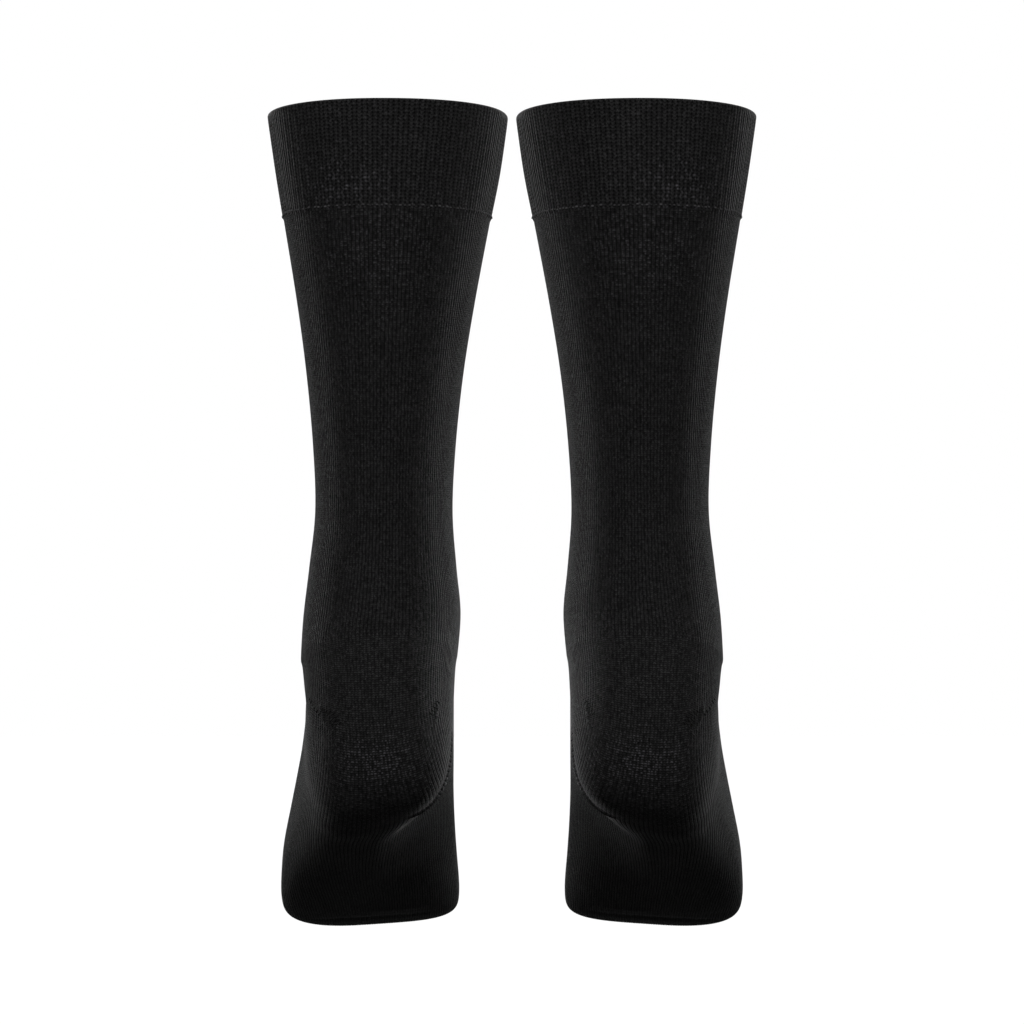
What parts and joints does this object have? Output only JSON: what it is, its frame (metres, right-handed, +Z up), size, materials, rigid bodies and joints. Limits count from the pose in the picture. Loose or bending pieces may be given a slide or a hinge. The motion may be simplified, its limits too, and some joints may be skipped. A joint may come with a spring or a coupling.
{
  "type": "pair of socks",
  "caption": "Pair of fine-knit mid-calf dress socks with ribbed cuffs, hollow and filled out as if worn on tiptoe, with open tops and shaped heels and toes.",
  "frame": {"origin": "midway between the two cuffs, at the height of their rims, where two legs enter and hold the pair up", "axes": "+Z up, +Y the way the toes point, +X to the wearer's right; the two socks mirror each other across x = 0"},
  "size_m": [0.2222, 0.2372, 0.3813],
  "materials": {
    "ribbed_knit": "black double rib knit of fine cotton and elastic, matt with a soft nap",
    "plain_knit": "black fine plain knit of combed cotton, matt with a faint nap at its edges",
    "heel_toe_knit": "black plain knit, a little denser and more open at the gore lines"
  },
  "bodies": {
    "root": {"right_sock_cuff": "ribbed_knit", "right_sock_leg": "plain_knit", "right_sock_heel": "heel_toe_knit", "right_sock_foot": "plain_knit", "right_sock_toe": "heel_toe_knit", "left_sock_cuff": "ribbed_knit", "left_sock_leg": "plain_knit", "left_sock_heel": "heel_toe_knit", "left_sock_foot": "plain_knit", "left_sock_toe": "heel_toe_knit"}
  },
  "joints": []
}
